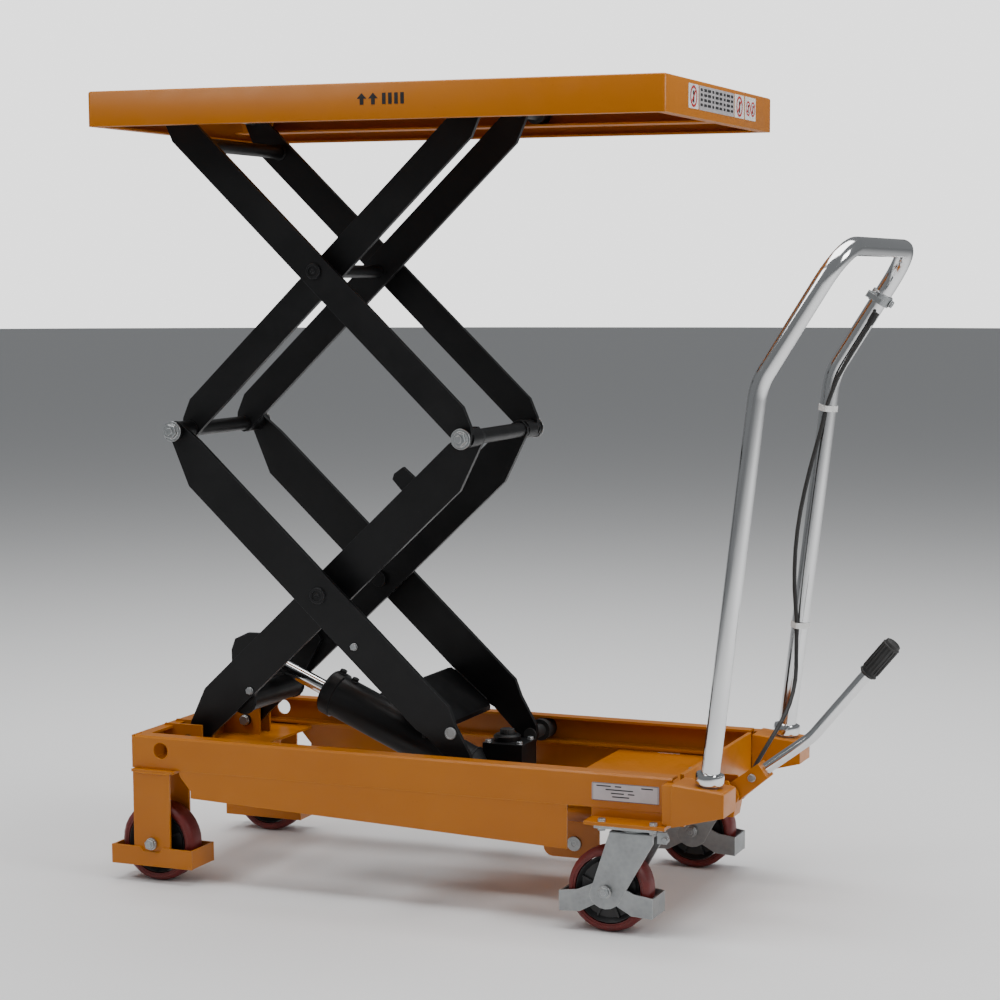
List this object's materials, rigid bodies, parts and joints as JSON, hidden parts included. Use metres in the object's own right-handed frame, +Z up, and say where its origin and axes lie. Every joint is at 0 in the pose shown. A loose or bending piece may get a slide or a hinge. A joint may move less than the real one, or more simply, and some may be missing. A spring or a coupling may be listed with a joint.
{
  "type": "scissor lift table",
  "caption": "Mobile hydraulic double-scissor lift table with platform, push handle, foot pump, two fixed wheels and two swivel casters",
  "frame": {"origin": "bottom centre of the bounding box, on the floor", "axes": "+Z up, +X towards the push handle, -Y the side without the release lever"},
  "size_m": [1.1962, 0.506, 1.2104],
  "materials": {
    "yellow_paint": "orange-yellow powder coat",
    "black_paint": "matte black paint",
    "zinc": "dull zinc plate",
    "chrome": "bright plated tube",
    "steel": "bare turned steel",
    "red_tread": "dark red polyurethane",
    "black_hub": "moulded nylon",
    "black_rubber": "moulded rubber"
  },
  "bodies": {
    "base": {"near_rail": "yellow_paint", "near_handle_socket": "yellow_paint", "near_fixed_fork": "yellow_paint", "near_fixed_axle": "steel", "near_caster_plate": "zinc", "far_rail": "yellow_paint", "far_handle_socket": "yellow_paint", "far_fixed_fork": "yellow_paint", "far_fixed_axle": "steel", "far_caster_plate": "zinc", "left_cross_member": "yellow_paint", "right_cross_member": "yellow_paint", "deck_plate": "yellow_paint", "pump_beam": "yellow_paint", "pump_block": "black_paint", "push_handle": "chrome", "lever_clamp": "zinc", "release_cable": "black_rubber"},
    "fixed_wheel_near": {"near_fixed_wheel_tread": "red_tread", "near_fixed_wheel_hub": "black_hub"},
    "caster_near": {"near_caster_fork": "zinc", "near_caster_axle": "steel"},
    "caster_wheel_near": {"near_caster_wheel_tread": "red_tread", "near_caster_wheel_hub": "black_hub"},
    "fixed_wheel_far": {"far_fixed_wheel_tread": "red_tread", "far_fixed_wheel_hub": "black_hub"},
    "caster_far": {"far_caster_fork": "zinc", "far_caster_axle": "steel"},
    "caster_wheel_far": {"far_caster_wheel_tread": "red_tread", "far_caster_wheel_hub": "black_hub"},
    "lower_inner": {"near_inner_lower_arm": "black_paint", "far_inner_lower_arm": "black_paint", "lift_lug_tube": "black_paint", "right_mid_shaft": "black_paint"},
    "lower_outer": {"near_outer_lower_arm": "black_paint", "far_outer_lower_arm": "black_paint", "arm_cross_plate": "black_paint", "left_mid_shaft": "black_paint"},
    "upper_outer": {"near_outer_upper_arm": "black_paint", "far_outer_upper_arm": "black_paint", "upper_tie_tube": "black_paint", "upper_centre_shaft": "black_paint"},
    "upper_inner": {"near_inner_upper_arm": "black_paint", "far_inner_upper_arm": "black_paint"},
    "platform": {"platform_tray": "yellow_paint", "near_platform_track": "yellow_paint", "far_platform_track": "yellow_paint", "top_pivot_shaft": "steel"},
    "lower_roller_near": {"near_lower_roller": "black_rubber"},
    "upper_roller_near": {"near_upper_roller": "black_rubber"},
    "lower_roller_far": {"far_lower_roller": "black_rubber"},
    "upper_roller_far": {"far_upper_roller": "black_rubber"},
    "cylinder": {"lift_cylinder": "black_paint"},
    "rod": {"piston_rod": "chrome"},
    "plunger": {"pump_plunger": "steel"},
    "pedal": {"pedal_arm": "yellow_paint", "pedal_tube": "chrome", "pedal_grip": "black_rubber"},
    "lever": {"release_lever": "zinc"}
  },
  "joints": [
    {"name": "lift", "type": "hinge", "parent": "base", "child": "lower_inner", "pos_m": [-0.51713, 0, 0.208], "axis": [0, -1, 0], "range_deg": [-39.5, 5.5]},
    {"name": "lower_cross", "type": "hinge", "parent": "lower_inner", "child": "lower_outer", "pos_m": [-0.27363, 0, 0.4535], "axis": [0, -1, 0], "range_deg": [-11.2, 79.2]},
    {"name": "right_mid", "type": "hinge", "parent": "lower_inner", "child": "upper_outer", "pos_m": [-0.03013, 0, 0.699], "axis": [0, -1, 0], "range_deg": [-11.2, 79.2]},
    {"name": "upper_cross", "type": "hinge", "parent": "upper_outer", "child": "upper_inner", "pos_m": [-0.27363, 0, 0.9445], "axis": [0, -1, 0], "range_deg": [-79.2, 11.2]},
    {"name": "top_pivot", "type": "hinge", "parent": "upper_outer", "child": "platform", "pos_m": [-0.51713, 0, 1.19], "axis": [0, -1, 0], "range_deg": [-39.7, 5.7]},
    {"name": "lower_roller_near_spin", "type": "hinge", "parent": "lower_outer", "child": "lower_roller_near", "pos_m": [-0.03013, -0.1815, 0.208], "axis": [0, 1, 0], "continuous": true},
    {"name": "upper_roller_near_spin", "type": "hinge", "parent": "upper_inner", "child": "upper_roller_near", "pos_m": [-0.03013, -0.164, 1.19], "axis": [0, 1, 0], "continuous": true},
    {"name": "fixed_wheel_near_spin", "type": "hinge", "parent": "base", "child": "fixed_wheel_near", "pos_m": [-0.52713, -0.18, 0.0625], "axis": [0, 1, 0], "continuous": true},
    {"name": "caster_near_swivel", "type": "hinge", "parent": "base", "child": "caster_near", "pos_m": [0.26587, -0.198, 0.15], "axis": [0, 0, 1], "continuous": true},
    {"name": "caster_wheel_near_spin", "type": "hinge", "parent": "caster_near", "child": "caster_wheel_near", "pos_m": [0.22787, -0.198, 0.0625], "axis": [0, 1, 0], "continuous": true},
    {"name": "lower_roller_far_spin", "type": "hinge", "parent": "lower_outer", "child": "lower_roller_far", "pos_m": [-0.03013, 0.1815, 0.208], "axis": [0, 1, 0], "continuous": true},
    {"name": "upper_roller_far_spin", "type": "hinge", "parent": "upper_inner", "child": "upper_roller_far", "pos_m": [-0.03013, 0.164, 1.19], "axis": [0, 1, 0], "continuous": true},
    {"name": "fixed_wheel_far_spin", "type": "hinge", "parent": "base", "child": "fixed_wheel_far", "pos_m": [-0.52713, 0.18, 0.0625], "axis": [0, 1, 0], "continuous": true},
    {"name": "caster_far_swivel", "type": "hinge", "parent": "base", "child": "caster_far", "pos_m": [0.26587, 0.198, 0.15], "axis": [0, 0, 1], "continuous": true},
    {"name": "caster_wheel_far_spin", "type": "hinge", "parent": "caster_far", "child": "caster_wheel_far", "pos_m": [0.22787, 0.198, 0.0625], "axis": [0, 1, 0], "continuous": true},
    {"name": "cylinder_tilt", "type": "hinge", "parent": "base", "child": "cylinder", "pos_m": [-0.04713, 0, 0.161], "axis": [0, -1, 0], "range_deg": [-1, 6.5]},
    {"name": "rod_slide", "type": "slide", "parent": "cylinder", "child": "rod", "axis": [-0.9172, 0, 0.3984], "range_m": [-0.09, 0.0128]},
    {"name": "pedal_pivot", "type": "hinge", "parent": "base", "child": "pedal", "pos_m": [0.34787, 0, 0.17], "axis": [0, -1, 0], "range_deg": [-28, 0], "stiffness_Nm_per_rad": 20, "springref_deg": 11.46},
    {"name": "plunger_slide", "type": "slide", "parent": "base", "child": "plunger", "axis": [1, 0, 0], "range_m": [-0.0148, 0]},
    {"name": "lever_pivot", "type": "hinge", "parent": "base", "child": "lever", "pos_m": [0.51357, 0.1705, 0.905], "axis": [0.8526, 0, -0.5225], "range_deg": [-25, 0], "stiffness_Nm_per_rad": 0.5, "springref_deg": 17.19}
  ],
  "couplings": [
    {"joint": "lower_cross", "follows": "lift", "ratio": -2},
    {"joint": "right_mid", "follows": "lift", "ratio": -2},
    {"joint": "upper_cross", "follows": "lift", "ratio": 2},
    {"joint": "top_pivot", "follows": "lift", "ratio": 1},
    {"joint": "cylinder_tilt", "follows": "lift", "ratio": -0.16},
    {"joint": "rod_slide", "follows": "lift", "m_per_rad": 0.13},
    {"joint": "plunger_slide", "follows": "pedal_pivot", "m_per_rad": 0.03}
  ]
}
